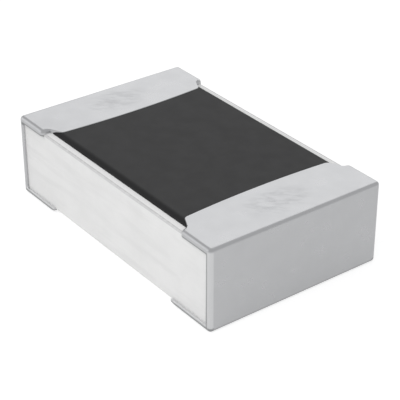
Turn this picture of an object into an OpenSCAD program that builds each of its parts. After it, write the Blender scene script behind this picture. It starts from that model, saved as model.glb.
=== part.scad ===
// Thick-film chip resistor, case 0805 (metric 2012)
// Millimetres. X runs from termination to termination, Y across, Z up from the solder faces.
// The ceramic bar carries a printed resistive film; each end is wrapped by a C-shaped stack of metal layers.

/* [Overall size] */
// Length over both terminations
chip_l = 2.0; // [1.7:0.05:2.4]
// Width over the terminations
chip_w = 1.25; // [1.1:0.05:1.5]
// Height from the solder faces to the top of the pads
chip_h = 0.55; // [0.4:0.05:0.75]

/* [Pads] */
// Length of a top pad along its middle
pad_l = 0.386; // [0.34:0.01:0.46]
// How far the inner edge of a top pad bows out at its middle
pad_bow = 0.025; // [0.01:0.005:0.04]
// Length of the part of a termination that has the full width of the chip
wrap_l = 0.28; // [0.22:0.01:0.3]
// How far the sides of a top pad stay in from the sides of the chip where the full width starts
tab_margin = 0.058; // [0.05:0.002:0.08]
// Angle at which the sides of a top pad spread, in degrees
tab_flare = 24; // [15:1:30]
// Radius of the inner corners of a top pad
pad_corner_r = 0.035; // [0.03:0.005:0.045]
// Radius where the full width starts on the sides of the chip
lip_r = 0.025; // [0.02:0.001:0.03]
// Length of a bottom pad
bottom_l = 0.37; // [0.32:0.01:0.44]
// Length over which the inner edge of a bottom pad thins out
feather_l = 0.08; // [0.06:0.01:0.1]
// Radius of the outer edges of a termination
edge_r = 0.025; // [0.02:0.001:0.03]

/* [Metal layers] */
// Thickness of the printed silver on top
top_electrode_t = 0.012; // [0.008:0.001:0.016]
// Thickness of the printed silver underneath
bottom_electrode_t = 0.006; // [0.004:0.001:0.01]
// Thickness of the silver on the end of the ceramic
end_electrode_t = 0.01; // [0.006:0.001:0.014]
// Thickness of the nickel barrier
nickel_t = 0.006; // [0.005:0.001:0.009]
// Thickness of the tin
tin_t = 0.01; // [0.007:0.001:0.013]
// How far the nickel creeps down the sides of the ceramic past its rounded edges
nickel_creep = 0.002; // [0.001:0.001:0.004]
// How far the tin creeps over bare ceramic past the nickel
tin_creep = 0.003; // [0.002:0.001:0.006]
// How far the nickel wraps from the end onto the sides of the ceramic
end_lip = 0.01; // [0.006:0.001:0.014]

/* [Ceramic] */
// Radius of the long edges of the ceramic
ceramic_edge_r = 0.01; // [0.006:0.001:0.014]

/* [Resistive layers] */
// Length of film lying on each electrode
film_overlap = 0.1; // [0.06:0.01:0.14]
// Thickness of the film
film_t = 0.006; // [0.004:0.001:0.008]
// Glass past the ends of the film
glass_end_margin = 0.03; // [0.02:0.005:0.04]
// Glass past the sides of the film
glass_side_margin = 0.05; // [0.03:0.005:0.06]
// Thickness of the glass
glass_t = 0.004; // [0.003:0.001:0.006]
// Electrode past the sides of the glass
electrode_side_margin = 0.02; // [0.01:0.005:0.03]

/* [Overcoat] */
// Overcoat above the tallest glass
coat_cover = 0.003; // [0.002:0.001:0.005]
// Overcoat past the ends of the glass, up to the pads
coat_end_margin = 0.044; // [0.03:0.002:0.06]
// Overcoat past the sides of the glass
coat_side_margin = 0.109; // [0.08:0.001:0.14]
// Bare ceramic ledge along each side of the overcoat
ledge_w = 0.05; // [0.03:0.005:0.07]
// Width of the rolled shoulder along the overcoat
coat_shoulder_w = 0.04; // [0.03:0.005:0.05]
// How far the overcoat runs on beside the pads
coat_tuck = 0.1; // [0.06:0.005:0.12]

/* [Laser trim] */
// Width of the trim cut
kerf_w = 0.036; // [0.02:0.002:0.05]
// Place of the cut along the film
kerf_x = -0.06; // [-0.15:0.01:0.05]
// Depth of the plunge from the side of the film, as a share of its width
kerf_share = 0.45; // [0.2:0.05:0.6]
// Length of the run along the film
kerf_run = 0.2; // [0.1:0.02:0.26]

/* [Hidden] */
$fn = 96;
plating_t = nickel_t + tin_t;
base_l = chip_l - 2 * (end_electrode_t + plating_t);
base_w = chip_w - 2 * plating_t;
base_bottom = bottom_electrode_t + plating_t;
base_top = chip_h - top_electrode_t - plating_t;
electrode_wrap = 0.6 * ceramic_edge_r;

// Top pad outline: the inner edge is an arc of bow_r, the sides are lines that spread at tab_flare
pad_in = chip_l / 2 - pad_l;
wrap_in = chip_l / 2 - wrap_l;
tab_y = chip_w / 2 - tab_margin;
bow_r = (tab_y * tab_y + pad_bow * pad_bow) / (2 * pad_bow);
bow_x = pad_in + bow_r;
tab_along = [cos(tab_flare), sin(tab_flare)];
tab_out = [-sin(tab_flare), cos(tab_flare)];
tab_far = [wrap_in, tab_y] * tab_out;
corner_lead = 0.001;
side_lead = 0.001;
corner_reach = bow_r - pad_corner_r + corner_lead;
corner_drop = tab_far - pad_corner_r + bow_x * sin(tab_flare);
corner_run = bow_x * cos(tab_flare) - sqrt(corner_reach * corner_reach - corner_drop * corner_drop);
corner = (tab_far - pad_corner_r) * tab_out + corner_run * tab_along;
corner_turn = (corner - [bow_x, 0]) / corner_reach;

// Bottom pad: its inner edge thins out along a slope
bottom_in = chip_l / 2 - bottom_l;
feather_len = sqrt(feather_l * feather_l + base_bottom * base_bottom);
middle = chip_h / 2;

// Heights of the layers on top of the ceramic
electrode_top = base_top + top_electrode_t;
film_low = base_top + film_t;
film_high = electrode_top + film_t;
glass_low = film_low + glass_t;
glass_high = film_high + glass_t;
coat_top = glass_high + coat_cover;
coat_w = base_w - 2 * ledge_w;
coat_l = 2 * (pad_in + coat_tuck);
coat_rise = coat_top - base_top;
coat_r = (coat_shoulder_w * coat_shoulder_w + coat_rise * coat_rise) / (2 * coat_rise);
glass_l = 2 * (pad_in - coat_end_margin);
glass_w = coat_w - 2 * coat_side_margin;
film_l = glass_l - 2 * glass_end_margin;
film_w = glass_w - 2 * glass_side_margin;
electrode_gap = film_l - 2 * film_overlap;
tongue_w = glass_w + 2 * electrode_side_margin;
reach = chip_l;

// Piece to draw, or all of them

// Rectangle between two corners with every corner rounded
module rounded_rect(low, high, r) {
    translate([low[0] + r, low[1]])
        square([high[0] - low[0] - 2 * r, high[1] - low[1]]);
    translate([low[0], low[1] + r])
        square([high[0] - low[0], high[1] - low[1] - 2 * r]);
    for (x = [low[0] + r, high[0] - r], y = [low[1] + r, high[1] - r])
        translate([x, y])
            circle(r = r);
}

// A drawing in X and Z pulled out along Y
module along_y(width) {
    rotate([90, 0, 0])
        linear_extrude(height = width, center = true)
            children();
}

// A drawing in Y and Z pulled out along X
module along_x(length) {
    rotate([90, 0, 90])
        linear_extrude(height = length, center = true)
            children();
}

// Tab of the right top pad, every edge drawn in by the inset
module tab_plan(inset) {
    r = pad_corner_r - inset;
    root = [wrap_in, tab_y] + 2 * lip_r * tab_along - inset * tab_out;
    side = corner + r * tab_out;
    front = corner + r * corner_turn;
    half = [root, side, front, [pad_in / 2, front[1]]];
    intersection() {
        translate([bow_x, 0])
            circle(r = bow_r - inset, $fn = 720);
        union() {
            polygon(concat(half, [for (i = [3:-1:0]) [half[i][0], -half[i][1]]]));
            for (y = [-1, 1])
                translate([corner[0], y * corner[1]])
                    circle(r = r);
        }
    }
}

// Full width of the right termination, its inner corners rounded
module wrap_plan(inset) {
    w = chip_w / 2 - inset + side_lead;
    rounded_rect([wrap_in + inset, -w], [chip_l, w], lip_r - inset);
}

// Outline of the right termination in X and Z, the inner edge of its bottom pad thinned out
module stack_profile(inset) {
    foot = bottom_in + inset;
    rise = inset * feather_len / feather_l;
    difference() {
        rounded_rect([-reach, inset], [chip_l / 2 - inset, chip_h - inset], edge_r - inset);
        polygon([
            [-2 * reach, middle], [foot, middle], [foot, base_bottom * (1 - inset / feather_l) + rise],
            [bottom_in + 3 * feather_l, rise - 2 * base_bottom], [-2 * reach, rise - 2 * base_bottom]
        ]);
    }
}

// Outer form of the right termination down to the inset below the tin
module stack_form(inset) {
    r = edge_r - inset;
    difference() {
        intersection() {
            linear_extrude(height = chip_h)
                rounded_rect([-reach, -chip_w / 2 + inset], [chip_l / 2 - inset, chip_w / 2 - inset], r);
            along_y(2 * chip_w)
                stack_profile(inset);
            along_x(2 * reach)
                rounded_rect([-chip_w / 2 + inset, inset], [chip_w / 2 - inset, chip_h - inset], r);
        }
        translate([0, 0, middle])
            linear_extrude(height = chip_h)
                difference() {
                    translate([-2 * reach, -chip_w])
                        square([2 * reach + wrap_in + lip_r, 2 * chip_w]);
                    tab_plan(inset);
                    wrap_plan(inset);
                }
    }
}

// Opening of the C where the sides of the ceramic stay bare, drawn in by the creep past the nickel
module stack_window(creep) {
    margin = ceramic_edge_r + nickel_creep + creep;
    along_y(2 * chip_w)
        translate([-reach, base_bottom + margin])
            square([reach + base_l / 2 - end_lip - creep, base_top - base_bottom - 2 * margin]);
}

module ceramic_form() {
    along_x(base_l)
        rounded_rect([-base_w / 2, base_bottom], [base_w / 2, base_top], ceramic_edge_r);
}

// Right termination out to the nickel, with all that lies inside it
module nickel_form() {
    difference() {
        stack_form(tin_t);
        stack_window(0);
    }
}

module ceramic_substrate() {
    color("white")
        ceramic_form();
}

// Print that wraps the rounded edge of the ceramic and reaches in under the film as a tongue
module top_print() {
    translate([0, 0, base_top - electrode_wrap])
        linear_extrude(height = electrode_wrap + top_electrode_t)
            intersection() {
                union() {
                    tab_plan(plating_t);
                    wrap_plan(plating_t);
                    translate([electrode_gap / 2, -tongue_w / 2])
                        square([base_l / 2 - electrode_gap / 2, tongue_w]);
                }
                translate([0, -base_w / 2])
                    square([base_l / 2, base_w]);
            }
}

// Print under the ceramic, thinned out as the bottom pad is
module bottom_print() {
    intersection() {
        translate([0, -base_w / 2, plating_t])
            cube([base_l / 2, base_w, bottom_electrode_t + electrode_wrap]);
        along_y(2 * chip_w)
            stack_profile(plating_t);
    }
}

module top_electrode() {
    color("silver")
        difference() {
            top_print();
            ceramic_form();
        }
}

module bottom_electrode() {
    color("silver")
        difference() {
            bottom_print();
            ceramic_form();
        }
}

module end_electrode() {
    color("silver")
        translate([base_l / 2, -base_w / 2, plating_t])
            cube([end_electrode_t, base_w, chip_h - 2 * plating_t]);
}

module nickel_barrier() {
    color("darkgray")
        difference() {
            nickel_form();
            ceramic_form();
            top_print();
            bottom_print();
            end_electrode();
        }
}

module tin_plating() {
    color("gainsboro")
        difference() {
            stack_form(0);
            stack_window(tin_creep);
            ceramic_form();
            nickel_form();
            top_print();
        }
}

// L-shaped cut: a plunge from the side of the film, then a run along it
module trim_cut() {
    depth = film_w * kerf_share;
    translate([kerf_x, -film_w / 2 + depth, base_top - 1])
        cylinder(d = kerf_w, h = 2);
    translate([kerf_x - kerf_w / 2, -film_w, base_top - 1])
        cube([kerf_w, film_w / 2 + depth, 2]);
    translate([kerf_x, -film_w / 2 + depth - kerf_w / 2, base_top - 1])
        cube([kerf_run, kerf_w, 2]);
    translate([kerf_x + kerf_run, -film_w / 2 + depth, base_top - 1])
        cylinder(d = kerf_w, h = 2);
}

// A layer that lies low on the ceramic and steps up onto both electrodes
module stepped_layer(length, width, low, high, step) {
    step_x = electrode_gap / 2 - step;
    along_y(width)
        polygon([
            [-length / 2, base_top], [length / 2, base_top], [length / 2, high], [step_x, high],
            [step_x, low], [-step_x, low], [-step_x, high], [-length / 2, high]
        ]);
}

module film_form() {
    stepped_layer(film_l, film_w, film_low, film_high, film_t);
}

module trimmed_film() {
    difference() {
        film_form();
        trim_cut();
    }
}

module both_ends() {
    children();
    mirror([1, 0, 0])
        children();
}

module resistive_film() {
    color("dimgray")
        difference() {
            trimmed_film();
            both_ends() top_print();
        }
}

module glass_passivation() {
    color("lightsteelblue")
        difference() {
            stepped_layer(glass_l, glass_w, glass_low, glass_high, film_t + glass_t);
            film_form();
            both_ends() top_print();
            trim_cut();
        }
}

// Dark epoxy levelled over the glass, rolled down to the ledges, filling the trim cut
module protective_overcoat() {
    flat_w = coat_w - 2 * coat_shoulder_w;
    color("dimgray")
        difference() {
            along_x(coat_l)
                intersection() {
                    union() {
                        translate([-flat_w / 2, base_top])
                            square([flat_w, coat_rise]);
                        for (side = [-1, 1])
                            translate([side * flat_w / 2, coat_top - coat_r])
                                circle(r = coat_r);
                    }
                    translate([-coat_w / 2, base_top])
                        square([coat_w, coat_rise]);
                }
            both_ends() stack_form(0);
            both_ends() top_print();
            trimmed_film();
            glass_passivation();
        }
}

ceramic_substrate();
protective_overcoat();
glass_passivation();
resistive_film();
mirror([1, 0, 0]) top_electrode();  // top_electrode_left
top_electrode();  // top_electrode_right
mirror([1, 0, 0]) bottom_electrode();  // bottom_electrode_left
bottom_electrode();  // bottom_electrode_right
mirror([1, 0, 0]) end_electrode();  // end_electrode_left
end_electrode();  // end_electrode_right
mirror([1, 0, 0]) nickel_barrier();  // nickel_barrier_left
nickel_barrier();  // nickel_barrier_right
mirror([1, 0, 0]) tin_plating();  // tin_plating_left
tin_plating();  // tin_plating_right
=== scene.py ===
import math

import bmesh
import bpy
from bpy.props import FloatProperty, FloatVectorProperty, PointerProperty
from mathutils import Matrix, Vector


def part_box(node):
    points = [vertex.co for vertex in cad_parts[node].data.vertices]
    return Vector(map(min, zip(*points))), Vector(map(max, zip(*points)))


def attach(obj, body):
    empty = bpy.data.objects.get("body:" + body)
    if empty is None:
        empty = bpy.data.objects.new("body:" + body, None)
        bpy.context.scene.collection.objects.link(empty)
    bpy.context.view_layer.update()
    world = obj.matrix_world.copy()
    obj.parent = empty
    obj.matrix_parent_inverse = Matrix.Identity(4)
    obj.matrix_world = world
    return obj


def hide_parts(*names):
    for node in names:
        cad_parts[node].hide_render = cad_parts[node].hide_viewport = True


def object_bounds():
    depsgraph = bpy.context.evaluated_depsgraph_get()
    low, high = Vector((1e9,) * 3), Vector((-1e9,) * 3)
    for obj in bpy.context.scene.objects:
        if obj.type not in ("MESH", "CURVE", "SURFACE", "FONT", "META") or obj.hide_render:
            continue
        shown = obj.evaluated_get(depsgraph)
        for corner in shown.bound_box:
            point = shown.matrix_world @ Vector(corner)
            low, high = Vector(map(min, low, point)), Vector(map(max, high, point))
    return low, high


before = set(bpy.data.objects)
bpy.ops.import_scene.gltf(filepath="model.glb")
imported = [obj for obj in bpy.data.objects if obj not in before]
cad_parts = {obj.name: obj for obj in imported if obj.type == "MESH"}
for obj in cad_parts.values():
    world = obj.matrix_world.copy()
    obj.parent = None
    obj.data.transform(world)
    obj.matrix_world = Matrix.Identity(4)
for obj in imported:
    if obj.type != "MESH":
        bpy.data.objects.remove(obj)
CAD_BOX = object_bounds()

bl_info = {
    "name": "Chip Resistor",
    "version": (1, 0, 0),
    "blender": (4, 5, 0),
    "location": "View3D > Sidebar > Chip Resistor",
    "description": "Models a thick-film chip resistor with tinned ends, and a plain studio for it",
    "category": "Add Mesh",
}

# Pieces are modelled on a bench where one unit is a millimetre, then brought down to real size
BENCH = 1000.0
BODY = "root"
ENDS = {"left": -1, "right": 1}

# Tolerances on the bench: for cuts, for the place of an edge, for merging points and for levels
TINY = 1e-6
NEAR = TINY * 10
MERGE = TINY * 20
SLACK = TINY * 100

# Shares of a unit direction, from straight along an axis to hardly along it at all
STRAIGHT = 0.99
MOSTLY = 0.9
SLIGHTLY = 0.1
HARDLY = 0.02
RIGHT_ANGLE = math.radians(90)

# Steps in a rounded edge or in a whittled arc
CERAMIC_CUTS = 5
ROLL_CUTS = 6
BOW_CUTS = 8
CORNER_CUTS = 7
RIM_CUTS = 3
SHOULDER_CUTS = 8

# Share of the lips' thickness that is left at the feathered edge
FEATHERED = 0.05
# Height of the overcoat's slab before it is pressed flat, as a share of its shoulder
SLAB_HEIGHT = 1.02

# Ranges of a noise or a gradient over which a pattern sets in, and the stretch of scuff strokes
EDGE_SHADE_RANGE = (0.3, 0.6)
STREAK_RANGE = (0.46, 0.72)
STROKE_RANGE = (0.36, 0.72)
PATCH_RANGE = (0.0, 0.6)
STROKE_STRETCH = 3.0

# Masks: millimetres over which one fades, the least and most of partial ones, and a power
FADE = 0.01
EDGE_SHADE_LEAST = 0.7
STREAK_MOST = 0.6
CORNER_HIGHLIGHT = 0.52
END_SHADE = 0.6
SHADE_FALLOFF = 1.5

# The stage, with the softboxes' places and sides in millimetres, and the floor in metres
PHOTO_SIDE_PX = 400
SENSOR_MM = 36.0
CLIP_NEAR = 1 / 20
CLIP_FAR = 100
BACK_LIGHT = Vector((-6.2, 7.4, 7.1))
FRONT_LIGHT = Vector((1.0, -5.3, 4.6))
SIDE_LIGHT = Vector((-8.0, -8.9, 2.1))
BACK_LIGHT_SIDE = 12.0
FRONT_LIGHT_SIDE = 9.0
SIDE_LIGHT_SIDE = 10.0
FLOOR_SIDE = 0.4
FLOOR_LEVEL = -1e-6
WHITE = (1.0, 1.0, 1.0, 1.0)


def length(name, description, default):
    """A size in metres, shown in the user's unit."""
    return FloatProperty(name=name, description=description, default=default, min=0.0,
                         precision=6, unit="LENGTH")


def angle(name, description, degrees):
    """An angle, given here in degrees."""
    return FloatProperty(name=name, description=description, default=math.radians(degrees),
                         subtype="ANGLE")


def share(name, description, default):
    """A number from 0 to 1."""
    return FloatProperty(name=name, description=description, default=default, min=0.0, max=1.0,
                         subtype="FACTOR")


def strength(name, description, default):
    """A strength of light."""
    return FloatProperty(name=name, description=description, default=default, min=0.0)


def pixels(name, description, default):
    """A length in pixels of the square picture."""
    return FloatProperty(name=name, description=description, default=default, subtype="PIXEL")


def colour(name, description, default):
    """A linear colour."""
    return FloatVectorProperty(name=name, description=description, default=default, size=3,
                               min=0.0, max=1.0, subtype="COLOR")


class CeramicSettings(bpy.types.PropertyGroup):
    """Alumina bar"""
    edge_radius: length("Edge radius", "Rounding of the long edges of the bar", 0.010e-3)
    shade_level: length("Shade level", "Depth of the tin's lips below the bar's top", 0.015e-3)
    shade_width: length("Shade width", "Height of the grey below the lips", 0.034e-3)
    shade_start: length("Shade start", "Where the lips start, from the middle of the bar", 0.720e-3)
    colour: colour("Alumina", "Colour of the fired ceramic", (0.80, 0.80, 0.795))
    # Painted light: the upper face is made lighter than the sides, as if lit more from above
    lit_face_colour: colour("Printed face", "Colour of the upper face", (0.93, 0.93, 0.925))
    # Painted shade: the grey of the shade line along the upper edges and of the shade under the
    # lips
    painted_shade_grey: colour("Rubbed edge", "Grey of worn edges and below the lips", (0.60, 0.60, 0.60))
    roughness: share("Roughness", "Roughness of the ceramic", 0.55)


class TerminationSettings(bpy.types.PropertyGroup):
    """Tinned ends"""
    pad_length: length("Pad length", "Length of a pad along its middle", 0.386e-3)
    pad_bow: length("Pad bow", "How far the inner edge of a pad bows out", 0.025e-3)
    wrap_length: length("Wrap length", "Length of the full-width wrap behind the tab", 0.280e-3)
    tab_margin: length("Tab margin", "From the side of the part to the root of the tab", 0.058e-3)
    tab_flare: angle("Tab flare", "Slant of the sides of the tab", 24)
    corner_radius: length("Corner radius", "Rounding of the inner corners of the tab", 0.035e-3)
    lip_radius: length("Lip radius", "Rounding of the inner ends of the side lips", 0.033e-3)
    bottom_length: length("Bottom length", "Length of the pad underneath", 0.370e-3)
    feather_length: length("Feather length", "Run over which the lower pad thins out", 0.080e-3)
    edge_radius: length("Edge radius", "Rounding of the outer edges", 0.025e-3)
    inner_edge: length("Inner edge", "Rounding of the pad edge beside the overcoat", 0.004e-3)
    lip_edge: length("Lip edge", "Rounding of the rims of the side lips", 0.005e-3)
    side_lip: length("Side lip", "How far the tin creeps down the side of the ceramic", 0.015e-3)
    end_lip: length("End lip", "How far the tin creeps from the end onto the side", 0.013e-3)
    thickness: length("Tin thickness", "Thickness of the tin", 0.0099e-3)
    # Painted shade: width of the band of shade painted along the rims of the side lips
    rim_shade_width: length("Rim width", "Width of the darker rim of the side lips", 0.016e-3)
    scuff_length: length("Scuff length", "Reach of the probe marks along the part", 0.16e-3)
    scuff_width: length("Scuff width", "Reach of the probe marks across the part", 0.28e-3)
    scuff_slant: angle("Scuff slant", "Direction of the scuff strokes", 50)
    colour: colour("Tin", "Colour of the matt tin", (0.60, 0.605, 0.615))
    # Painted shade: the colour of the shade painted on the rims and along the feet
    tin_shade_colour: colour("Rim", "Colour of the thin rims and the worn feet", (0.34, 0.345, 0.35))
    # Painted highlight: the lighter colour painted on the lower lips and the near corners
    tin_highlight_colour: colour("Polished tin", "Colour of lower lips and near corners", (0.82, 0.825, 0.83))
    scuff_colour: colour("Scuff", "Colour of the marks that probes leave", (0.49, 0.495, 0.505))
    roughness: share("Roughness", "Roughness of the tin", 0.30)


class OvercoatSettings(bpy.types.PropertyGroup):
    """Dark epoxy over the resistive film"""
    shoulder_width: length("Shoulder width", "Width of the rolled shoulder", 0.040e-3)
    # Painted shade: the darker colour painted on the rolled shoulders
    shoulder_shade_colour: colour("Shoulder", "Colour of the rolled shoulder", (0.014, 0.014, 0.0145))
    colour: colour("Epoxy", "Colour of the cured epoxy", (0.036, 0.036, 0.0365))
    roughness: share("Roughness", "Roughness of the epoxy", 0.62)


class LayerSettings(bpy.types.PropertyGroup):
    """Layers under the tin and the overcoat"""
    silver: colour("Printed silver", "Colour of the fired silver paste", (0.80, 0.78, 0.74))
    nickel: colour("Nickel", "Colour of the nickel barrier", (0.62, 0.59, 0.54))
    film: colour("Resistive film", "Colour of the ruthenium film", (0.035, 0.036, 0.040))
    glass: colour("Glass", "Colour of the glass over the film", (0.55, 0.66, 0.62))


class StageSettings(bpy.types.PropertyGroup):
    """Floor, lights and camera"""
    azimuth: angle("Azimuth", "Camera's turn round the part", 53.05)
    elevation: angle("Elevation", "Camera's height above the horizon", 30.44)
    distance: length("Distance", "From the camera to the part", 8.5746e-3)
    focal_px: pixels("Focal length", "Focal length of the camera", 1387.9)
    across_px: pixels("Across", "Part's place across the picture", -7.75)
    upward_px: pixels("Upward", "Part's place up the picture", -13.89)
    floor_colour: colour("Floor", "Colour of the floor", (0.52, 0.52, 0.52))
    floor_glow: strength("Floor glow", "Light that the floor sends up to the part", 0.38)
    backdrop_glow: strength("Backdrop glow", "Whitens the floor behind the part", 0.70)
    sky: colour("Studio", "Light that comes from all round", (0.575, 0.575, 0.58))
    back_light: strength("Back light", "Radiance of the softbox behind the left end", 0.51)
    side_light: strength("Side light", "Radiance of the softbox at the near left", 0.45)
    front_light: strength("Front light", "Radiance of the softbox above the front", 1.0)


class ChipSettings(bpy.types.PropertyGroup):
    """All the settings of the chip resistor"""
    ceramic: PointerProperty(type=CeramicSettings)
    terminations: PointerProperty(type=TerminationSettings)
    overcoat: PointerProperty(type=OvercoatSettings)
    layers: PointerProperty(type=LayerSettings)
    stage: PointerProperty(type=StageSettings)


# Modelling helpers


def bench_box(node):
    """Lowest and highest corner of a CAD node, in bench units."""
    return [Vector([side * BENCH for side in corner]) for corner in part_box(node)]


def pick(*pieces):
    """Selects these pieces and nothing else, and makes the first one active."""
    bpy.ops.object.select_all(action="DESELECT")
    for piece in pieces:
        piece.select_set(True)
    bpy.context.view_layer.objects.active = pieces[0]


def add_block(name, low, high):
    """Adds a cube and fits it between two corners."""
    bpy.ops.object.select_all(action="DESELECT")
    bpy.ops.mesh.primitive_cube_add(size=1.0, location=(low + high) / 2)
    piece = bpy.context.active_object
    piece.name = name
    piece.data.name = name
    piece.scale = high - low
    bpy.ops.object.transform_apply(location=True, rotation=True, scale=True)
    return piece


def edit(piece):
    """Opens one piece in edit mode with all of it selected."""
    pick(piece)
    bpy.ops.object.mode_set(mode="EDIT")
    bpy.ops.mesh.select_all(action="SELECT")


def leave_edit():
    bpy.ops.object.mode_set(mode="OBJECT")


def select_where(piece, kind, rule):
    """Selects the faces, edges or points that follow a rule, in edit mode."""
    bpy.ops.mesh.select_mode(type=kind)
    bpy.ops.mesh.select_all(action="DESELECT")
    mesh = bmesh.from_edit_mesh(piece.data)
    parts = {"FACE": mesh.faces, "EDGE": mesh.edges, "VERT": mesh.verts}[kind]
    for part in parts:
        if rule(part):
            part.select_set(True)
    mesh.select_flush_mode()
    bmesh.update_edit_mesh(piece.data)


def round_edges(piece, rule, radius, cuts):
    """Rounds the edges that follow a rule, in edit mode."""
    select_where(piece, "EDGE", rule)
    bpy.ops.mesh.bevel(offset=radius, offset_pct=0, segments=cuts, profile=0.5, affect="EDGES")


def cut_faces(piece, rule, point, normal):
    """Cuts the faces that follow a rule along a plane, in edit mode."""
    select_where(piece, "FACE", rule)
    bpy.ops.mesh.bisect(plane_co=point, plane_no=normal, threshold=TINY)


def whittle(piece, rule, point, normal):
    """Cuts off what stands outside a plane, on the faces that follow a rule, and closes the cut."""
    select_where(piece, "FACE", rule)
    bpy.ops.mesh.bisect(plane_co=point, plane_no=normal, use_fill=True, clear_outer=True,
                        threshold=TINY)


def whittle_arc(piece, rule, centre, radius, first, last, cuts):
    """Whittles an upright arc on both sides of the part, by planes that touch the arc.

    Angles are counted from the direction that points away from the end of the part.
    """
    for step in range(1, cuts + 1):
        turn = first + (last - first) * step / (cuts + 1)
        for side in (-1, 1):
            normal = Vector((-math.cos(turn), side * math.sin(turn), 0.0))
            point = Vector((centre.x, side * centre.y, centre.z)) + radius * normal
            whittle(piece, rule, point, normal)


def whole(part):
    """Rule that every part of a mesh follows."""
    return True


def middle(edge):
    return (edge.verts[0].co + edge.verts[1].co) / 2


def runs_along_part(edge):
    direction = (edge.verts[1].co - edge.verts[0].co).normalized()
    return abs(direction.x) > MOSTLY


def apply_modifier(piece, kind, **settings):
    """Adds a modifier, sets it and applies it."""
    pick(piece)
    modifier = piece.modifiers.new(kind.title(), kind)
    for key, value in settings.items():
        setattr(modifier, key, value)
    bpy.ops.object.modifier_apply(modifier=modifier.name)


def tidy_mesh(piece):
    """Merges doubled points and turns every face outwards."""
    edit(piece)
    bpy.ops.mesh.remove_doubles(threshold=MERGE)
    bpy.ops.mesh.normals_make_consistent(inside=False)
    leave_edit()


def mirror_over(piece):
    """Turns a right piece into a left one."""
    edit(piece)
    bpy.ops.transform.resize(value=(-1.0, 1.0, 1.0), center_override=(0.0, 0.0, 0.0))
    bpy.ops.mesh.normals_make_consistent(inside=False)
    leave_edit()


def delete_piece(piece):
    mesh = piece.data
    bpy.data.objects.remove(piece)
    bpy.data.meshes.remove(mesh)


def smooth(piece, degrees):
    """Shades soft curves smooth and keeps flat faces flat.

    This comes before the piece gets its real size, where faces are too small to be weighed.
    """
    pick(piece)
    bpy.ops.object.shade_smooth_by_angle(angle=math.radians(degrees))
    apply_modifier(piece, "WEIGHTED_NORMAL", keep_sharp=True, weight=70, thresh=0.001)


def to_real_size(piece):
    """Brings a piece from the bench down to metres."""
    pick(piece)
    piece.scale = [1 / BENCH] * 3
    bpy.ops.object.transform_apply(location=False, rotation=False, scale=True)


def settle(piece, material, node):
    """Puts a finished piece in the place of its CAD node."""
    if not piece.data.polygons:
        raise RuntimeError(f"{piece.name} came out empty")
    piece.data.materials.clear()
    piece.data.materials.append(material)
    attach(piece, BODY)
    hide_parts(node)


# Material helpers


def new_material(name):
    """A material with a Principled shader, its node tree and that shader."""
    material = bpy.data.materials.new(name)
    material.use_nodes = True
    tree = material.node_tree
    return material, tree, tree.nodes["Principled BSDF"]


def tint(colour_value, factor=1.0):
    """A colour made darker or lighter, with the fourth number that a socket takes."""
    return (*(min(1.0, channel * factor) for channel in colour_value), 1.0)


def feed(tree, socket, value):
    """Links an input to another node's output, or sets it to a plain value."""
    if isinstance(value, bpy.types.NodeSocket):
        tree.links.new(value, socket)
    else:
        socket.default_value = value


def add_node(tree, kind, **inputs):
    """Adds a node and feeds its inputs by name, with an underscore for each space."""
    node = tree.nodes.new(kind)
    for key, value in inputs.items():
        feed(tree, node.inputs[key.replace("_", " ")], value)
    return node


def math_node(tree, operation, first, second=0.0):
    node = tree.nodes.new("ShaderNodeMath")
    node.operation = operation
    for socket, value in zip(node.inputs, (first, second)):
        feed(tree, socket, value)
    return node.outputs[0]


def remap(tree, value, low, high, to_low, to_high):
    """Spreads a value from one range over another, smoothly at both ends."""
    node = add_node(tree, "ShaderNodeMapRange", Value=value, From_Min=low, From_Max=high,
                    To_Min=to_low, To_Max=to_high)
    node.interpolation_type = "SMOOTHSTEP"
    return node.outputs["Result"]


def rising(tree, value, start, full, most=1.0):
    """Mask that grows from 0 to its most between two values."""
    return remap(tree, value, start, full, 0.0, most)


def falling(tree, value, full, end, most=1.0):
    """Mask that fades from its most to 0 between two values."""
    return remap(tree, value, full, end, most, 0.0)


def both(tree, first, second):
    """Mask of where two masks meet."""
    return math_node(tree, "MULTIPLY", first, second)


def either(tree, first, second):
    """Mask of where one of two masks lies, or the stronger of them."""
    return math_node(tree, "MAXIMUM", first, second)


def mix_colour(tree, mask, first, second):
    """Goes from the first colour to the second where the mask lies."""
    node = tree.nodes.new("ShaderNodeMix")
    node.data_type = "RGBA"
    feed(tree, node.inputs["Factor"], mask)
    for key, value in (("A", first), ("B", second)):
        feed(tree, next(s for s in node.inputs if s.name == key and s.type == "RGBA"), value)
    return next(s for s in node.outputs if s.type == "RGBA")


def millimetres(tree, stretch=(1.0, 1.0, 1.0)):
    """Object coordinates counted in millimetres, stretched along an axis for streaks."""
    place = tree.nodes.new("ShaderNodeTexCoord").outputs["Object"]
    scale = [BENCH * side for side in stretch]
    return add_node(tree, "ShaderNodeMapping", Vector=place, Scale=scale).outputs["Vector"]


def split_place(tree):
    """Object coordinates in millimetres as three sockets, named X, Y and Z."""
    return add_node(tree, "ShaderNodeSeparateXYZ", Vector=millimetres(tree)).outputs


def off_middle(tree, coordinate):
    """How far a coordinate is from the middle of the part, on either side."""
    return math_node(tree, "ABSOLUTE", coordinate)


def add_noise(tree, place, scale, detail, **inputs):
    node = add_node(tree, "ShaderNodeTexNoise", Vector=place, Scale=scale, Detail=detail, **inputs)
    return node.outputs["Fac"]


def camera_ray(tree):
    """Mask that is 1 where the camera itself looks."""
    return tree.nodes.new("ShaderNodeLightPath").outputs["Is Camera Ray"]


def new_group(name, inputs, outputs):
    """An empty shader node group with named sockets."""
    tree = bpy.data.node_groups.new(name, "ShaderNodeTree")
    for socket, kind, default in inputs:
        made = tree.interface.new_socket(socket, in_out="INPUT", socket_type=kind)
        if default is not None:
            made.default_value = default
    for socket, kind in outputs:
        tree.interface.new_socket(socket, in_out="OUTPUT", socket_type=kind)
    return tree, tree.nodes.new("NodeGroupInput"), tree.nodes.new("NodeGroupOutput")


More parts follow.
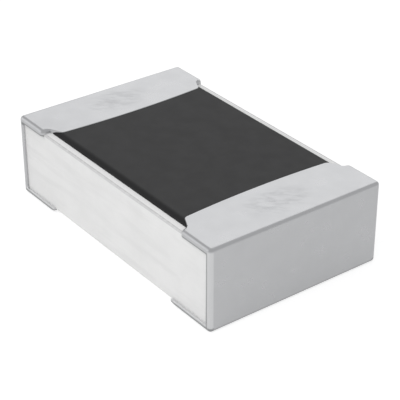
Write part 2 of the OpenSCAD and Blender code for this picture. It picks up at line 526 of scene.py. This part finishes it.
def grain_group():
    """Fine grain and soft clouds over a surface, as a height and a mask."""
    name = "Surface grain"
    if name in bpy.data.node_groups:
        return bpy.data.node_groups[name]
    tree, given, result = new_group(
        name,
        [("Place", "NodeSocketVector", None), ("Grain per mm", "NodeSocketFloat", 60.0),
         ("Clouds per mm", "NodeSocketFloat", 6.0), ("Contrast", "NodeSocketFloat", 0.2)],
        [("Height", "NodeSocketFloat"), ("Clouds", "NodeSocketFloat")])
    place = given.outputs["Place"]
    fine = add_noise(tree, place, given.outputs["Grain per mm"], detail=4.0, Roughness=0.6)
    broad = add_noise(tree, place, given.outputs["Clouds per mm"], detail=5.0, Roughness=0.6)
    low = math_node(tree, "SUBTRACT", 0.5, given.outputs["Contrast"])
    high = math_node(tree, "ADD", 0.5, given.outputs["Contrast"])
    feed(tree, result.inputs["Height"], fine)
    feed(tree, result.inputs["Clouds"], rising(tree, broad, low, high))
    return tree


def add_grain(tree, grain, clouds, contrast):
    """Places the surface grain in a material with its own values."""
    node = tree.nodes.new("ShaderNodeGroup")
    node.node_tree = grain_group()
    values = {"Place": millimetres(tree), "Grain per mm": grain, "Clouds per mm": clouds,
              "Contrast": contrast}
    for key, value in values.items():
        feed(tree, node.inputs[key], value)
    return node.outputs["Height"], node.outputs["Clouds"]


def clouded(tree, clouds, colour_value, darkest, lightest):
    """A colour that varies with the clouds between a darker and a lighter tint."""
    return mix_colour(tree, clouds, tint(colour_value, darkest), tint(colour_value, lightest))


def finish_surface(tree, shader, base, clouds, roughness, spread):
    """Feeds the shader its colour, and a roughness that drops where the clouds are light."""
    feed(tree, shader.inputs["Base Color"], base)
    feed(tree, shader.inputs["Roughness"],
         remap(tree, clouds, 0.0, 1.0, roughness + spread, roughness - spread))


def add_bump(tree, shader, height, depth, amount):
    """Bump from a height, with its depth in metres."""
    bump = add_node(tree, "ShaderNodeBump", Strength=amount, Distance=depth, Height=height)
    feed(tree, shader.inputs["Normal"], bump.outputs["Normal"])


# Materials


def painted_edge_shade(tree, settings):
    """Mask of painted shade along the rounded upper edges of the ceramic, broken up by fine grain.
    """
    high = bench_box("ceramic_substrate")[1]
    edge = settings.edge_radius * BENCH
    corner = high.y + high.z
    place = split_place(tree)
    outward = math_node(tree, "ADD", off_middle(tree, place["Y"]), place["Z"])
    band = rising(tree, outward, corner - edge * 1.5, corner - edge)
    grain = add_noise(tree, millimetres(tree), scale=40.0, detail=3.0)
    return both(tree, band, remap(tree, grain, *EDGE_SHADE_RANGE, EDGE_SHADE_LEAST, 1.0))


def lit_top_face(tree, settings):
    """Mask of the ceramic's upper face, painted lighter than its sides as if lit more from above.
    """
    top = bench_box("ceramic_substrate")[1].z
    edge = settings.edge_radius * BENCH
    return rising(tree, split_place(tree)["Z"], top - edge * 0.3, top - edge * 0.05)


def lip_shade(tree, settings):
    """Mask of painted shade on the ceramic's sides under the lips of the tin."""
    lip = bench_box("ceramic_substrate")[1].z - settings.shade_level * BENCH
    start = settings.shade_start * BENCH
    place = split_place(tree)
    upward = rising(tree, place["Z"], lip - settings.shade_width * BENCH, lip)
    beside = rising(tree, off_middle(tree, place["X"]), start - FADE, start + FADE)
    return both(tree, math_node(tree, "POWER", upward, SHADE_FALLOFF), beside)


def ceramic_material(settings):
    """Fired alumina: off-white, faintly clouded, with painted shade at its edges and under the
    lips, and painted light on its top.
    """
    material, tree, shader = new_material("alumina")
    height, clouds = add_grain(tree, grain=45.0, clouds=5.0, contrast=0.22)
    streak_place = millimetres(tree, stretch=(0.35, 1.0, 2.6))
    streaks = add_noise(tree, streak_place, scale=6.0, detail=5.0)
    base = clouded(tree, clouds, settings.colour, darkest=0.955, lightest=1.0)
    streaked = rising(tree, streaks, *STREAK_RANGE, STREAK_MOST)
    base = mix_colour(tree, streaked, base, tint(settings.colour, factor=0.89))
    # Painted light on the upper face
    base = mix_colour(tree, lit_top_face(tree, settings), base, tint(settings.lit_face_colour))
    # Painted shade along the upper edges and under the tin's lips
    grey = either(tree, painted_edge_shade(tree, settings), lip_shade(tree, settings))
    base = mix_colour(tree, grey, base, tint(settings.painted_shade_grey))
    finish_surface(tree, shader, base, clouds, settings.roughness, spread=0.06)
    add_bump(tree, shader, height, depth=0.8e-6, amount=0.35)
    return material


def probe_scuffs(tree, settings):
    """Mask of the cloudy marks that test probes leave in the middle of each top pad."""
    high = bench_box("tin_plating_right")[1]
    centre = (high.x - settings.pad_length * BENCH / 2, 0.0, high.z)
    reach = [size * BENCH for size in (settings.scuff_length, settings.scuff_width,
                                       settings.edge_radius)]
    mirrored = tree.nodes.new("ShaderNodeVectorMath")
    mirrored.operation = "ABSOLUTE"
    feed(tree, mirrored.inputs[0], millimetres(tree))
    fitted = add_node(tree, "ShaderNodeMapping", Vector=mirrored.outputs["Vector"],
                      Scale=[1 / side for side in reach],
                      Location=[-spot / side for spot, side in zip(centre, reach)])
    patch = add_node(tree, "ShaderNodeTexGradient", Vector=fitted.outputs["Vector"])
    patch.gradient_type = "SPHERICAL"
    slanted = add_node(tree, "ShaderNodeMapping", Vector=millimetres(tree),
                       Rotation=(0.0, 0.0, settings.scuff_slant),
                       Scale=(STROKE_STRETCH, 1.0, 1.0))
    slanted.vector_type = "TEXTURE"
    strokes = add_noise(tree, slanted.outputs["Vector"], scale=34.0, detail=4.0, Roughness=0.6,
                        Distortion=0.3)
    return both(tree, rising(tree, patch.outputs["Fac"], *PATCH_RANGE),
                rising(tree, strokes, *STROKE_RANGE))


def painted_rim_shade(tree, settings):
    """Mask of painted shade on the thin rims of the upper lips and of the right end's upright ones.
    """
    high = bench_box("ceramic_substrate")[1]
    rise = high.z - settings.side_lip * BENCH
    run = high.x - settings.end_lip * BENCH
    band = settings.rim_shade_width * BENCH
    place = split_place(tree)
    past_rim = either(tree, math_node(tree, "SUBTRACT", place["Z"], rise),
                      math_node(tree, "SUBTRACT", place["X"], run))
    rim = falling(tree, math_node(tree, "ABSOLUTE", past_rim), band * 0.4, band)
    return both(tree, rim, rising(tree, off_middle(tree, place["Y"]), high.y - band, high.y))


def painted_lip_highlight(tree, settings):
    """Mask of a painted highlight on the lower side lips."""
    low, high = bench_box("ceramic_substrate")
    rim = low.z + settings.side_lip * BENCH
    run = high.x - settings.end_lip * BENCH
    place = split_place(tree)
    beside = both(tree, rising(tree, off_middle(tree, place["Y"]), high.y - 2 * FADE, high.y),
                  falling(tree, off_middle(tree, place["X"]), run, run + FADE))
    return both(tree, falling(tree, place["Z"], rim * 1.1, rim * 1.5), beside)


def painted_corner_highlight(tree, settings):
    """Mask of a painted highlight on the upright corners on the near side."""
    low, high = bench_box("tin_plating_right")
    edge = settings.edge_radius * BENCH
    corner = high.x - low.y
    place = split_place(tree)
    outward = math_node(tree, "SUBTRACT", off_middle(tree, place["X"]), place["Y"])
    upright = rising(tree, outward, corner - 1.25 * edge, corner - 0.85 * edge, CORNER_HIGHLIGHT)
    return both(tree, upright, falling(tree, place["Z"], high.z - 1.2 * edge, high.z - 0.6 * edge))


def painted_foot_shade(tree, settings):
    """Mask of painted contact shade on the lowest outer edges, where the part stands, most along
    its sides.
    """
    high = bench_box("tin_plating_right")[1]
    edge = settings.edge_radius * BENCH
    place = split_place(tree)
    across = off_middle(tree, place["Y"])
    along_part = off_middle(tree, place["X"])
    side = both(tree, rising(tree, across, high.y - 1.4 * edge, high.y - edge),
                falling(tree, place["Z"], 0.85 * edge, 1.45 * edge))
    end = both(tree, rising(tree, along_part, high.x - 1.4 * edge, high.x - edge),
               falling(tree, place["Z"], 0.55 * edge, 1.15 * edge, END_SHADE))
    return either(tree, side, end)


def tin_material(settings):
    """Matt tin: cloudy satin grey with scuffed pads, painted shade on rims and feet, and painted
    highlights on lips and corners.
    """
    material, tree, shader = new_material("matt_tin")
    height, clouds = add_grain(tree, grain=90.0, clouds=7.0, contrast=0.25)
    base = clouded(tree, clouds, settings.colour, darkest=0.985, lightest=1.01)
    base = mix_colour(tree, probe_scuffs(tree, settings), base, tint(settings.scuff_colour))
    # Painted shade along the rims of the lips
    base = mix_colour(tree, painted_rim_shade(tree, settings), base, tint(settings.tin_shade_colour))
    # Painted highlights on the lower lips and near corners
    bright = either(tree, painted_lip_highlight(tree, settings), painted_corner_highlight(tree, settings))
    base = mix_colour(tree, bright, base, tint(settings.tin_highlight_colour))
    # Painted contact shade along the feet
    base = mix_colour(tree, painted_foot_shade(tree, settings), base, tint(settings.tin_shade_colour))
    finish_surface(tree, shader, base, clouds, settings.roughness, spread=0.03)
    shader.inputs["Metallic"].default_value = 1.0
    add_bump(tree, shader, height, depth=0.3e-6, amount=0.15)
    return material


def shoulder(tree, settings):
    """Mask of painted shade on the rolled long edges of the overcoat."""
    edge = bench_box("protective_overcoat")[1].y
    width = settings.shoulder_width * BENCH
    across = off_middle(tree, split_place(tree)["Y"])
    return rising(tree, across, edge - 1.1 * width, edge - 0.4 * width)


def overcoat_material(settings):
    """Cured epoxy: dark grey, matt, with a fine grain and painted shade on its shoulders."""
    material, tree, shader = new_material("overcoat_epoxy")
    height, clouds = add_grain(tree, grain=70.0, clouds=9.0, contrast=0.3)
    base = clouded(tree, clouds, settings.colour, darkest=0.985, lightest=1.015)
    # Painted shade on the shoulders
    base = mix_colour(tree, shoulder(tree, settings), base, tint(settings.shoulder_shade_colour))
    finish_surface(tree, shader, base, clouds, settings.roughness, spread=0.03)
    shader.inputs["Specular IOR Level"].default_value = 0.25
    add_bump(tree, shader, height, depth=0.6e-6, amount=0.3)
    return material


def layer_material(name, colour_value, metallic, roughness, grain):
    """A thin fired or plated layer: its colour clouded a little, with a fine grain."""
    material, tree, shader = new_material(name)
    height, clouds = add_grain(tree, grain=grain, clouds=10.0, contrast=0.3)
    base = clouded(tree, clouds, colour_value, darkest=0.9, lightest=1.05)
    finish_surface(tree, shader, base, clouds, roughness, spread=0.08)
    shader.inputs["Metallic"].default_value = metallic
    add_bump(tree, shader, height, depth=0.6e-6, amount=0.4)
    return material


def floor_material(settings):
    """Plain pale floor, which looks whiter to the camera than it shines on the part."""
    material, tree, shader = new_material("studio_floor")
    shader.inputs["Base Color"].default_value = tint(settings.floor_colour)
    shader.inputs["Roughness"].default_value = 0.85
    shader.inputs["Specular IOR Level"].default_value = 0.1
    shader.inputs["Emission Color"].default_value = WHITE
    glow = remap(tree, camera_ray(tree), 0.0, 1.0, settings.floor_glow, settings.backdrop_glow)
    feed(tree, shader.inputs["Emission Strength"], glow)
    return material


# Pieces


def build_ceramic(settings):
    """The alumina bar, a block with its four long edges rounded."""
    piece = add_block("ceramic_bar", *bench_box("ceramic_substrate"))
    edit(piece)
    round_edges(piece, runs_along_part, settings.edge_radius * BENCH, CERAMIC_CUTS)
    leave_edit()
    tidy_mesh(piece)
    smooth(piece, degrees=40)
    to_real_size(piece)
    return piece


def corner_centre(half, wrap, flare, radius, bow_x, bow_radius):
    """Centre of the circle that rounds a tab's corner, inside both its slanted side and its bow."""
    side_offset = half * math.cos(flare) - wrap * math.sin(flare) - radius
    across = side_offset + bow_x * math.sin(flare)
    reach = bow_x * math.cos(flare) - math.sqrt((bow_radius - radius) ** 2 - across ** 2)
    return (reach * math.cos(flare) - side_offset * math.sin(flare),
            reach * math.sin(flare) + side_offset * math.cos(flare))


def raise_tab(piece, settings, wrap, high, foot):
    """Draws the bowed tab of a pad out of the wrap's inner face and whittles its outline."""
    half = high.y - settings.tab_margin * BENCH
    flare = settings.tab_flare
    corner = settings.corner_radius * BENCH
    bow = settings.pad_bow * BENCH
    inner = high.x - settings.pad_length * BENCH
    bow_radius = (half ** 2 + bow ** 2) / (2 * bow)
    bow_x = inner + bow_radius
    corner_x, corner_y = corner_centre(half, wrap, flare, corner, bow_x, bow_radius)
    turn = math.atan2(corner_y, bow_x - corner_x)

    def is_inner(face):
        return face.normal.x < -STRAIGHT

    def is_root(face):
        place = face.calc_center_median()
        return is_inner(face) and abs(place.y) < half and place.z > foot

    def is_tab(face):
        return face.calc_center_median().x < wrap - NEAR

    for side in (-half, half):
        cut_faces(piece, is_inner, (0.0, side, 0.0), (0.0, 1.0, 0.0))
    cut_faces(piece, is_inner, (0.0, 0.0, foot), (0.0, 0.0, 1.0))
    select_where(piece, "FACE", is_root)
    bpy.ops.mesh.extrude_region_move(TRANSFORM_OT_translate={"value": (inner - wrap, 0.0, 0.0)})
    taper = 1.0 - (wrap - inner) * math.tan(flare) / half
    bpy.ops.transform.resize(value=(1.0, taper, 1.0), center_override=(inner, 0.0, foot))
    whittle_arc(piece, is_tab, Vector((bow_x, 0.0, foot)), bow_radius, 0.0, turn, BOW_CUTS)
    whittle_arc(piece, is_tab, Vector((corner_x, corner_y, foot)), corner, turn,
                RIGHT_ANGLE - flare, CORNER_CUTS)


def round_wrap(piece, wrap, high, radius):
    """Rolls the upper edges of the wrap on both sides of the tab, and its upright end corners."""
    def is_flat_seam(edge):
        return all(face.normal.z > STRAIGHT for face in edge.link_faces)

    def is_rolled(edge):
        place = middle(edge)
        if place.x < wrap - NEAR or len(edge.link_faces) != 2:
            return False
        if all(abs(vert.co.z - high.z) < NEAR for vert in edge.verts):
            return min(abs(face.normal.z) for face in edge.link_faces) < SLIGHTLY
        return place.x > high.x - NEAR and abs(place.y) > high.y - NEAR

    select_where(piece, "EDGE", is_flat_seam)
    bpy.ops.mesh.dissolve_edges(use_verts=False)
    round_edges(piece, is_rolled, radius, ROLL_CUTS)


def build_upper_half(settings, name):
    """The upper half of the right termination as a solid: a full-width wrap with a bowed tab."""
    low, high = bench_box("tin_plating_right")
    wrap = high.x - settings.wrap_length * BENCH
    seam = (low.z + high.z) / 2
    lip = settings.lip_radius * BENCH
    piece = add_block(name, Vector((wrap, low.y, seam)), high)
    edit(piece)
    whittle_arc(piece, whole, Vector((wrap + lip, high.y - lip, seam)), lip, 0.0, RIGHT_ANGLE,
                CORNER_CUTS)
    raise_tab(piece, settings, wrap, high, (seam + high.z) / 2)
    round_wrap(piece, wrap, high, settings.edge_radius * BENCH)
    leave_edit()
    tidy_mesh(piece)
    return piece


def build_lower_half(settings, name):
    """The lower half of the right termination as a solid: a full-width, feathered pad."""
    low, high = bench_box("tin_plating_right")
    bed = bench_box("ceramic_substrate")[0].z
    inner = high.x - settings.bottom_length * BENCH
    feather = settings.feather_length * BENCH
    seam = (low.z + high.z) / 2

    def is_outer(edge):
        place = middle(edge)
        return place.x > inner + NEAR and abs(place.z - seam) > NEAR

    piece = add_block(name, Vector((inner, low.y, low.z)), Vector((high.x, high.y, seam)))
    edit(piece)
    round_edges(piece, is_outer, settings.edge_radius * BENCH, ROLL_CUTS)
    slope = Vector((low.z - bed, 0.0, -feather)).normalized()
    whittle(piece, whole, Vector((inner, 0.0, bed)), slope)
    leave_edit()
    tidy_mesh(piece)
    return piece


def open_half(piece, settings, level):
    """Opens half a termination where the ceramic is: level is 1 for the upper half, else -1."""
    ceramic_low, ceramic_high = bench_box("ceramic_substrate")
    bed = ceramic_high.z if level > 0 else ceramic_low.z
    lip = bed - level * settings.side_lip * BENCH
    ledge = bed + level * SLACK
    back = ceramic_high.x - settings.end_lip * BENCH
    half = ceramic_high.y

    def is_wall(face):
        return abs(face.normal.z) < HARDLY and face.normal.x < HARDLY

    def is_inner_wall(face):
        return is_wall(face) and face.normal.x < -HARDLY

    def is_open(face):
        place = face.calc_center_median()
        if face.normal.z * level < -MOSTLY:
            return True
        if not is_wall(face) or place.x > back:
            return False
        if (place.z - lip) * level < 0:
            return True
        return is_inner_wall(face) and abs(place.y) < half and (place.z - ledge) * level < 0

    edit(piece)
    cut_faces(piece, is_wall, (0.0, 0.0, lip), (0.0, 0.0, 1.0))
    cut_faces(piece, is_wall, (back, 0.0, 0.0), (1.0, 0.0, 0.0))
    for side in (-half, half):
        cut_faces(piece, is_inner_wall, (0.0, side, 0.0), (0.0, 1.0, 0.0))
    cut_faces(piece, is_inner_wall, (0.0, 0.0, ledge), (0.0, 0.0, 1.0))
    select_where(piece, "FACE", is_open)
    bpy.ops.mesh.delete(type="FACE")
    leave_edit()


def weigh(piece, weight, rule):
    """Writes a weight to the points that follow a rule, in edit mode."""
    select_where(piece, "VERT", rule)
    bpy.context.scene.tool_settings.vertex_group_weight = weight
    bpy.ops.object.vertex_group_assign()


def thicken(piece, settings):
    """Gives the tin its thickness: lips close onto the ceramic, and the feathered edge runs out."""
    high = bench_box("tin_plating_right")[1]
    ceramic_low, ceramic_high = bench_box("ceramic_substrate")
    lip = high.y - ceramic_high.y
    side = ceramic_high.y + NEAR
    tip = high.x - settings.bottom_length * BENCH + NEAR
    bed = ceramic_low.z + NEAR
    edit(piece)
    bpy.ops.object.vertex_group_add()
    weigh(piece, settings.thickness * BENCH / lip, whole)
    weigh(piece, 1.0, lambda vert: vert.is_boundary and abs(vert.co.y) > side)
    weigh(piece, 0.0, lambda vert: vert.co.x < tip and vert.co.z < bed and abs(vert.co.y) < side)
    leave_edit()
    apply_modifier(piece, "SOLIDIFY", thickness=lip, offset=-1.0, use_even_offset=True,
                   use_quality_normals=True, vertex_group=piece.vertex_groups[0].name,
                   thickness_vertex_group=FEATHERED)
    piece.vertex_groups.clear()


def soften_pad_edge(piece, settings):
    """Rounds the pad's inner edge, where the tin stands proud of the overcoat."""
    top = bench_box("tin_plating_right")[1].z

    def is_pad_edge(edge):
        level = all(abs(vert.co.z - top) < SLACK for vert in edge.verts)
        return level and any(abs(face.normal.z) < HARDLY for face in edge.link_faces)

    edit(piece)
    round_edges(piece, is_pad_edge, settings.inner_edge * BENCH, RIM_CUTS)
    leave_edit()


def soften_lips(piece, settings):
    """Rounds the upper and upright rims of the lips that lie on the sides of the ceramic."""
    high = bench_box("tin_plating_right")[1]
    ceramic_high = bench_box("ceramic_substrate")[1]
    level = ceramic_high.z - settings.side_lip * BENCH
    back = ceramic_high.x - settings.end_lip * BENCH
    proud = (ceramic_high.y + high.y) / 2

    def is_rim(edge):
        ends = [vert.co for vert in edge.verts]
        if any(abs(end.y) < proud for end in ends):
            return False
        if all(abs(end.z - level) < SLACK for end in ends):
            return True
        return all(abs(end.x - back) < SLACK for end in ends)

    edit(piece)
    round_edges(piece, is_rim, settings.lip_edge * BENCH, RIM_CUTS)
    leave_edit()


def build_termination(settings, name, end):
    """One tinned end: both halves opened, joined at the seam and given their thickness."""
    piece = build_upper_half(settings, name)
    open_half(piece, settings, 1)
    lower = build_lower_half(settings, f"{name}_lower")
    open_half(lower, settings, -1)
    pick(piece, lower)
    bpy.ops.object.join()
    tidy_mesh(piece)
    thicken(piece, settings)
    soften_pad_edge(piece, settings)
    soften_lips(piece, settings)
    if end < 0:
        mirror_over(piece)
    smooth(piece, degrees=40)
    to_real_size(piece)
    return piece


def build_overcoat(settings, terminations):
    """The epoxy slab: shoulders rolled down to the ledges, ends cut to the pads."""
    low, high = bench_box("protective_overcoat")
    roll = settings.shoulder_width * BENCH
    base = Vector((low.x, low.y, 0.0))
    tall = Vector((high.x, high.y, roll * SLAB_HEIGHT))
    piece = add_block("overcoat", base, tall)
    edit(piece)
    round_edges(piece, lambda edge: runs_along_part(edge) and middle(edge).z > roll, roll,
                SHOULDER_CUTS)
    leave_edit()
    piece.scale = (1.0, 1.0, (high.z - low.z) / tall.z)
    piece.location = (0.0, 0.0, low.z)
    bpy.ops.object.transform_apply(location=True, rotation=False, scale=True)
    for end in ENDS.values():
        block = build_upper_half(terminations, "pad_cutter")
        if end < 0:
            mirror_over(block)
        apply_modifier(piece, "BOOLEAN", operation="DIFFERENCE", object=block, solver="EXACT")
        delete_piece(block)
    smooth(piece, degrees=30)
    to_real_size(piece)
    return piece


# Operators


class CHIP_OT_ceramic(bpy.types.Operator):
    """Model the alumina bar"""
    bl_idname = "chip_resistor.ceramic"
    bl_label = "Ceramic bar"

    def execute(self, context):
        settings = context.scene.chip_resistor.ceramic
        piece = build_ceramic(settings)
        settle(piece, ceramic_material(settings), "ceramic_substrate")
        return {"FINISHED"}


class CHIP_OT_overcoat(bpy.types.Operator):
    """Model the epoxy over the resistive film"""
    bl_idname = "chip_resistor.overcoat"
    bl_label = "Overcoat"

    def execute(self, context):
        settings = context.scene.chip_resistor
        piece = build_overcoat(settings.overcoat, settings.terminations)
        settle(piece, overcoat_material(settings.overcoat), "protective_overcoat")
        return {"FINISHED"}


class CHIP_OT_terminations(bpy.types.Operator):
    """Model the tin on both ends"""
    bl_idname = "chip_resistor.terminations"
    bl_label = "Tinned ends"

    def execute(self, context):
        settings = context.scene.chip_resistor.terminations
        material = tin_material(settings)
        for side, end in ENDS.items():
            piece = build_termination(settings, f"tinned_end_{side}", end)
            settle(piece, material, f"tin_plating_{side}")
        return {"FINISHED"}


class CHIP_OT_layers(bpy.types.Operator):
    """Finish the layers under the tin and the overcoat"""
    bl_idname = "chip_resistor.layers"
    bl_label = "Inner layers"

    def execute(self, context):
        settings = context.scene.chip_resistor.layers
        finishes = {
            "electrode": layer_material("printed_silver", settings.silver, metallic=1.0,
                                        roughness=0.5, grain=80.0),
            "nickel": layer_material("nickel_plate", settings.nickel, metallic=1.0,
                                     roughness=0.35, grain=110.0),
            "film": layer_material("ruthenium_film", settings.film, metallic=0.0,
                                   roughness=0.45, grain=60.0),
            "glass": layer_material("passivation_glass", settings.glass, metallic=0.0,
                                    roughness=0.2, grain=30.0),
        }
        for name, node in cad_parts.items():
            for key, material in finishes.items():
                if key in name:
                    node.data.materials.clear()
                    node.data.materials.append(material)
        return {"FINISHED"}


def add_softbox(name, place, side, radiance):
    """A soft square light that faces the part; its place and side are in millimetres."""
    data = bpy.data.lights.new(name, "AREA")
    data.shape = "SQUARE"
    data.size = side / BENCH
    data.energy = radiance * math.pi * data.size ** 2
    light = bpy.data.objects.new(name, data)
    bpy.context.scene.collection.objects.link(light)
    light.location = place / BENCH
    light.rotation_euler = place.to_track_quat("Z", "Y").to_euler()
    light.visible_camera = False
    return light


class CHIP_OT_stage(bpy.types.Operator):
    """Set the floor, the lights and the camera"""
    bl_idname = "chip_resistor.stage"
    bl_label = "Stage"

    def execute(self, context):
        settings = context.scene.chip_resistor.stage
        self.add_floor(settings)
        self.add_lights(context, settings)
        self.add_camera(context, settings)
        context.scene.view_settings.view_transform = "Standard"
        return {"FINISHED"}

    def add_floor(self, settings):
        bpy.ops.object.select_all(action="DESELECT")
        bpy.ops.mesh.primitive_plane_add(size=FLOOR_SIDE, location=(0.0, 0.0, FLOOR_LEVEL))
        floor = bpy.context.active_object
        floor.name = "studio_floor"
        floor.data.materials.append(floor_material(settings))

    def add_lights(self, context, settings):
        world = bpy.data.worlds.new("studio")
        context.scene.world = world
        world.use_nodes = True
        tree = world.node_tree
        feed(tree, tree.nodes["Background"].inputs["Color"],
             mix_colour(tree, camera_ray(tree), tint(settings.sky), WHITE))
        back = add_softbox("back_softbox", BACK_LIGHT, BACK_LIGHT_SIDE, settings.back_light)
        back.visible_diffuse = False
        side = add_softbox("side_softbox", SIDE_LIGHT, SIDE_LIGHT_SIDE, settings.side_light)
        side.visible_diffuse = False
        front = add_softbox("front_softbox", FRONT_LIGHT, FRONT_LIGHT_SIDE, settings.front_light)
        front.visible_glossy = False

    def add_camera(self, context, settings):
        turn, lift = settings.azimuth, settings.elevation
        back = Vector((math.sin(turn) * math.cos(lift), -math.cos(turn) * math.cos(lift),
                       math.sin(lift)))
        right = Vector((math.cos(turn), math.sin(turn), 0.0))
        up = back.cross(right)
        centre = (CAD_BOX[0] + CAD_BOX[1]) / 2
        per_px = settings.distance / settings.focal_px
        place = centre + back * settings.distance
        place += up * settings.upward_px * per_px - right * settings.across_px * per_px
        data = bpy.data.cameras.new("photo_camera")
        data.sensor_width = SENSOR_MM
        data.lens = settings.focal_px / PHOTO_SIDE_PX * SENSOR_MM
        data.clip_start = settings.distance * CLIP_NEAR
        data.clip_end = settings.distance * CLIP_FAR
        camera = bpy.data.objects.new("photo_camera", data)
        context.scene.collection.objects.link(camera)
        turned = Matrix((right, up, back)).transposed().to_4x4()
        camera.matrix_world = Matrix.Translation(place) @ turned
        context.scene.camera = camera


class CHIP_PT_panel(bpy.types.Panel):
    """Builds the chip resistor piece by piece"""
    bl_idname = "CHIP_PT_panel"
    bl_label = "Chip Resistor"
    bl_space_type = "VIEW_3D"
    bl_region_type = "UI"
    bl_category = "Chip Resistor"

    def draw(self, context):
        settings = context.scene.chip_resistor
        groups = [(settings.ceramic, CHIP_OT_ceramic), (settings.overcoat, CHIP_OT_overcoat),
                  (settings.terminations, CHIP_OT_terminations), (settings.layers, CHIP_OT_layers),
                  (settings.stage, CHIP_OT_stage)]
        for group, operator in groups:
            box = self.layout.box()
            for key in group.__annotations__:
                box.prop(group, key)
            box.operator(operator.bl_idname)


CLASSES = (
    CeramicSettings, TerminationSettings, OvercoatSettings, LayerSettings, StageSettings,
    ChipSettings, CHIP_OT_ceramic, CHIP_OT_overcoat, CHIP_OT_terminations, CHIP_OT_layers,
    CHIP_OT_stage, CHIP_PT_panel,
)


def register():
    for cls in CLASSES:
        bpy.utils.register_class(cls)
    bpy.types.Scene.chip_resistor = PointerProperty(type=ChipSettings)


def unregister():
    del bpy.types.Scene.chip_resistor
    for cls in reversed(CLASSES):
        bpy.utils.unregister_class(cls)


def main():
    register()
    bpy.ops.chip_resistor.ceramic()
    bpy.ops.chip_resistor.overcoat()
    bpy.ops.chip_resistor.terminations()
    bpy.ops.chip_resistor.layers()
    bpy.ops.chip_resistor.stage()


if __name__ == "__main__":
    main()
